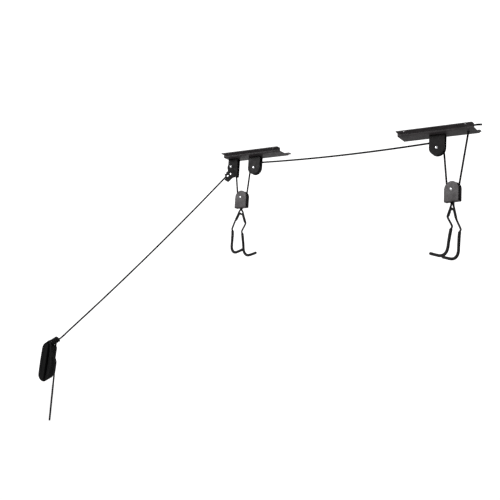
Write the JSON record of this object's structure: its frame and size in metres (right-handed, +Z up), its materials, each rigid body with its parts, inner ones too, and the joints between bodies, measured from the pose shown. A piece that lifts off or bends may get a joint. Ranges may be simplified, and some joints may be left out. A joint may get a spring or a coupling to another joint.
{
  "type": "ceiling mounted pulley rack",
  "caption": "Ceiling hoist: two steel brackets with rope pulleys, two hanging blocks with twin rubber-covered J-hooks, a rope lock, and spare rope hanked on a wall cleat.",
  "frame": {"origin": "centre of bracket A (the rope lock end) on the ceiling plane, the top of its flanges", "axes": "+Z up to the ceiling, +X from bracket A to bracket B, +Y away from the hand line side"},
  "size_m": [1.1722, 0.4309, 0.85],
  "materials": {
    "powder_coated_steel": "satin black powder coat",
    "zinc_plated_steel": "bright zinc plate",
    "nylon_sheave": "moulded black nylon",
    "braided_rope": "black braided polyester rope",
    "hook_wire": "satin black coated wire",
    "rubber_sleeve": "matt black dipped rubber",
    "cleat_plastic": "moulded black nylon"
  },
  "bodies": {
    "ceiling_frame": {"bracket_a_channel": "powder_coated_steel", "bracket_b_channel": "powder_coated_steel", "lock_housing": "powder_coated_steel", "pulley_a_housing": "powder_coated_steel", "pulley_b_housing": "powder_coated_steel", "lock_rivet_left": "zinc_plated_steel", "lock_rivet_right": "zinc_plated_steel", "pulley_a_rivet_left": "zinc_plated_steel", "pulley_a_rivet_right": "zinc_plated_steel", "pulley_b_rivet_left": "zinc_plated_steel", "pulley_b_rivet_right": "zinc_plated_steel", "lock_axle": "zinc_plated_steel", "pulley_a_axle": "zinc_plated_steel", "pulley_b_axle": "zinc_plated_steel", "lock_guide_pin": "zinc_plated_steel", "lock_cam_pin": "zinc_plated_steel", "lock_stop_pin": "zinc_plated_steel", "rope_anchor_knot": "braided_rope", "rope_strand_anchor": "braided_rope", "rope_strand_block_2": "braided_rope", "rope_over_pulley_b": "braided_rope", "rope_crossing": "braided_rope", "rope_over_pulley_a": "braided_rope", "rope_strand_block_1": "braided_rope", "rope_strand_lock": "braided_rope", "rope_over_lock": "braided_rope", "rope_pull_line": "braided_rope", "rope_hank": "braided_rope", "rope_tail": "braided_rope", "wall_cleat": "cleat_plastic"},
    "block_1": {"block_1_housing": "powder_coated_steel", "block_1_axle": "zinc_plated_steel", "rope_around_block_1": "braided_rope"},
    "block_1_sheave": {"block_1_sheave": "nylon_sheave"},
    "hook_1": {"hook_1_wire": "hook_wire", "hook_1_tie": "hook_wire", "hook_1_sleeve_near": "rubber_sleeve", "hook_1_sleeve_far": "rubber_sleeve"},
    "block_2": {"block_2_housing": "powder_coated_steel", "block_2_axle": "zinc_plated_steel", "rope_around_block_2": "braided_rope"},
    "block_2_sheave": {"block_2_sheave": "nylon_sheave"},
    "hook_2": {"hook_2_wire": "hook_wire", "hook_2_tie": "hook_wire", "hook_2_sleeve_near": "rubber_sleeve", "hook_2_sleeve_far": "rubber_sleeve"},
    "lock_sheave": {"lock_sheave": "nylon_sheave"},
    "pulley_a_sheave": {"pulley_a_sheave": "nylon_sheave"},
    "pulley_b_sheave": {"pulley_b_sheave": "nylon_sheave"},
    "lock_cam": {"lock_cam": "zinc_plated_steel"}
  },
  "joints": [
    {"name": "block_1_lift", "type": "slide", "parent": "ceiling_frame", "child": "block_1", "axis": [0, 0, -1], "range_m": [-0.03, 1], "deforming": ["rope_strand_block_1", "rope_strand_lock"]},
    {"name": "block_2_lift", "type": "slide", "parent": "ceiling_frame", "child": "block_2", "axis": [0, 0, -1], "range_m": [-0.03, 1], "deforming": ["rope_strand_anchor", "rope_strand_block_2"]},
    {"name": "block_1_sheave_spin", "type": "hinge", "parent": "block_1", "child": "block_1_sheave", "pos_m": [-0.042, 0, -0.14], "axis": [0.0523, 0.9986, 0], "continuous": true},
    {"name": "block_2_sheave_spin", "type": "hinge", "parent": "block_2", "child": "block_2_sheave", "pos_m": [0.6322, 0, -0.165], "axis": [0.2419, 0.9703, 0], "continuous": true},
    {"name": "pulley_a_spin", "type": "hinge", "parent": "ceiling_frame", "child": "pulley_a_sheave", "pos_m": [0, 0, -0.0473], "axis": [0, 1, 0], "continuous": true},
    {"name": "pulley_b_spin", "type": "hinge", "parent": "ceiling_frame", "child": "pulley_b_sheave", "pos_m": [0.588, 0, -0.0473], "axis": [0, 1, 0], "continuous": true},
    {"name": "lock_sheave_spin", "type": "hinge", "parent": "ceiling_frame", "child": "lock_sheave", "pos_m": [-0.088, 0, -0.037], "axis": [0, 1, 0], "continuous": true},
    {"name": "hook_1_swing", "type": "hinge", "parent": "block_1", "child": "hook_1", "pos_m": [-0.042, 0, -0.173], "axis": [0.9986, -0.0523, 0], "range_deg": [-15, 15]},
    {"name": "hook_2_swing", "type": "hinge", "parent": "block_2", "child": "hook_2", "pos_m": [0.6322, 0, -0.198], "axis": [0.9703, -0.2419, 0], "range_deg": [-15, 15]},
    {"name": "lock_cam_swing", "type": "hinge", "parent": "ceiling_frame", "child": "lock_cam", "pos_m": [-0.097, 0, -0.067], "axis": [0, 1, 0], "range_deg": [-20, 20]}
  ],
  "couplings": [
    {"joint": "block_2_lift", "follows": "block_1_lift", "ratio": 1},
    {"joint": "block_1_sheave_spin", "follows": "block_1_lift", "rad_per_m": -176.47},
    {"joint": "block_2_sheave_spin", "follows": "block_1_lift", "rad_per_m": -58.824},
    {"joint": "pulley_a_spin", "follows": "block_1_lift", "rad_per_m": 117.65},
    {"joint": "pulley_b_spin", "follows": "block_1_lift", "rad_per_m": 117.65},
    {"joint": "lock_sheave_spin", "follows": "block_1_lift", "rad_per_m": 285.71}
  ]
}
